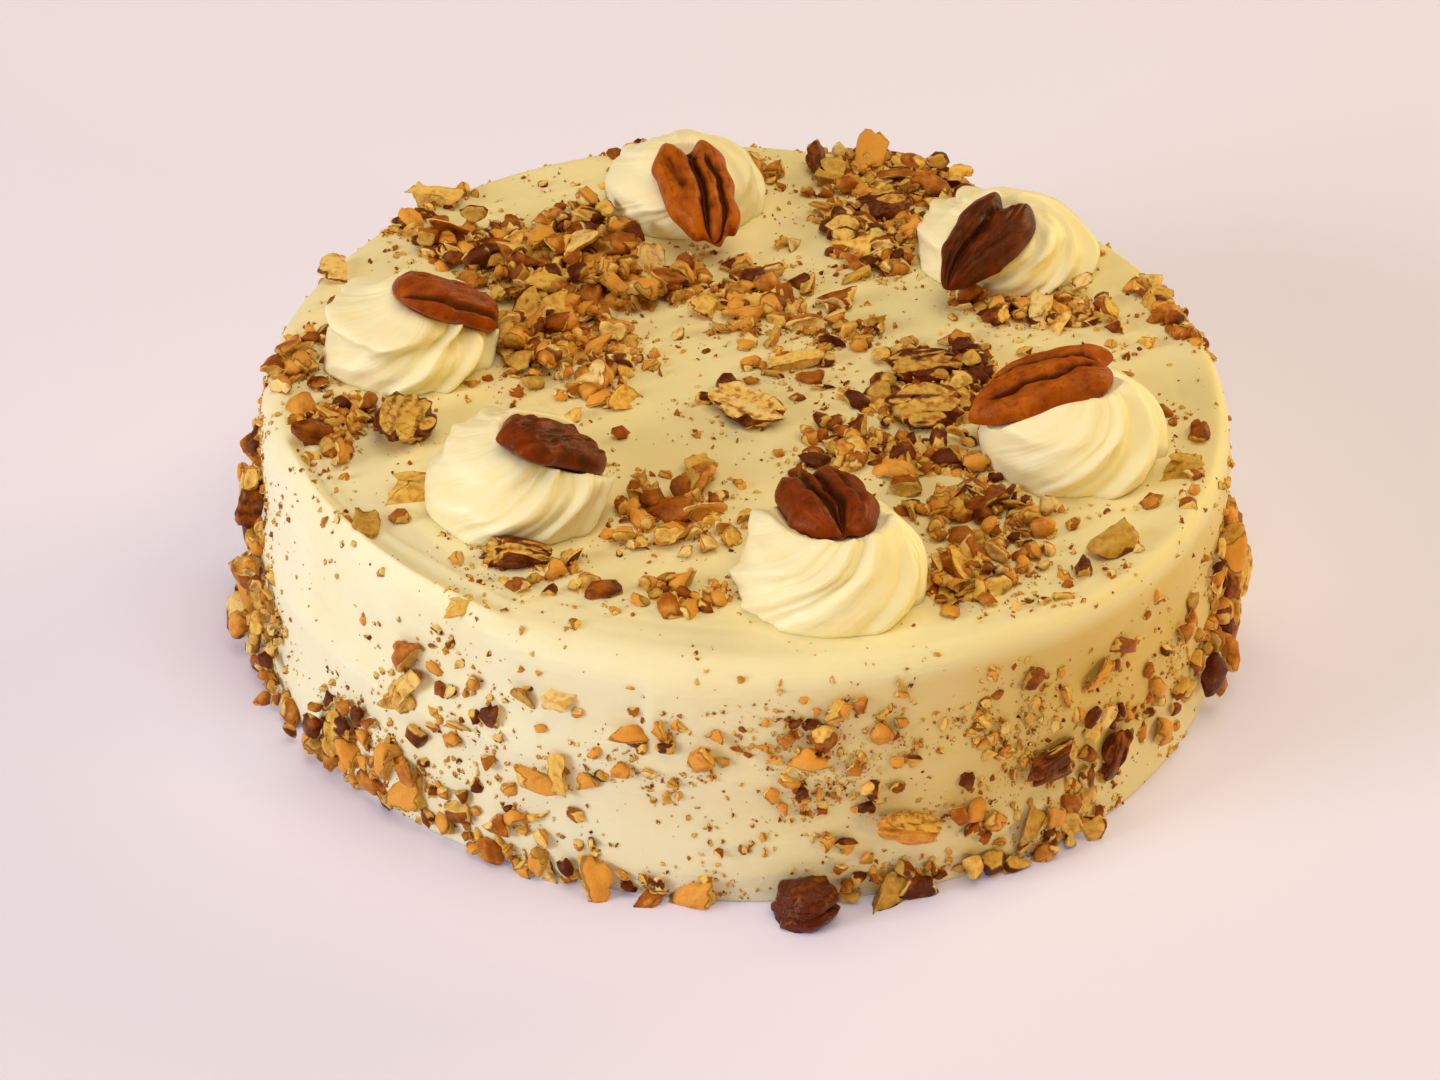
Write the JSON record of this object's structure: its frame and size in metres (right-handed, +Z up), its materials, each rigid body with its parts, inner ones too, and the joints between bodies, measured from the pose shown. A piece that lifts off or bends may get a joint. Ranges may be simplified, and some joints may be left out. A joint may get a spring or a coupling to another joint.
{
  "type": "carrot cake",
  "caption": "Whole round carrot cake with cream-cheese frosting, piped swirls topped with pecan halves, and chopped pecans over the top, side and foot.",
  "frame": {"origin": "centre of the flat foot of the cake, on the surface it rests on", "axes": "+Z up through the middle of the cake, -Y towards the front, +X to the right seen from the front"},
  "size_m": [0.2218, 0.2225, 0.0793],
  "materials": {
    "frosting": "smooth, soft cream-cheese frosting with a faint sheen",
    "piping": "piped cream, smooth with crisp ridges",
    "pecan_half": "toasted pecan skin, satin, finely wrinkled",
    "pecan_piece": "chopped toasted pecan, brown skin and pale broken faces"
  },
  "bodies": {
    "root": {"cake": "frosting", "rosette_1": "piping", "rosette_2": "piping", "rosette_3": "piping", "rosette_4": "piping", "rosette_5": "piping", "rosette_6": "piping", "pecan_half_1": "pecan_half", "pecan_half_2": "pecan_half", "pecan_half_3": "pecan_half", "pecan_half_4": "pecan_half", "pecan_half_5": "pecan_half", "pecan_half_6": "pecan_half", "pecan_piece_1": "pecan_piece", "pecan_piece_2": "pecan_piece", "pecan_piece_3": "pecan_piece", "pecan_piece_4": "pecan_piece", "pecan_piece_5": "pecan_piece", "pecan_piece_6": "pecan_piece", "pecan_piece_7": "pecan_piece", "pecan_piece_8": "pecan_piece", "pecan_piece_9": "pecan_piece", "pecan_piece_10": "pecan_piece", "pecan_piece_11": "pecan_piece", "pecan_piece_12": "pecan_piece"}
  },
  "joints": []
}
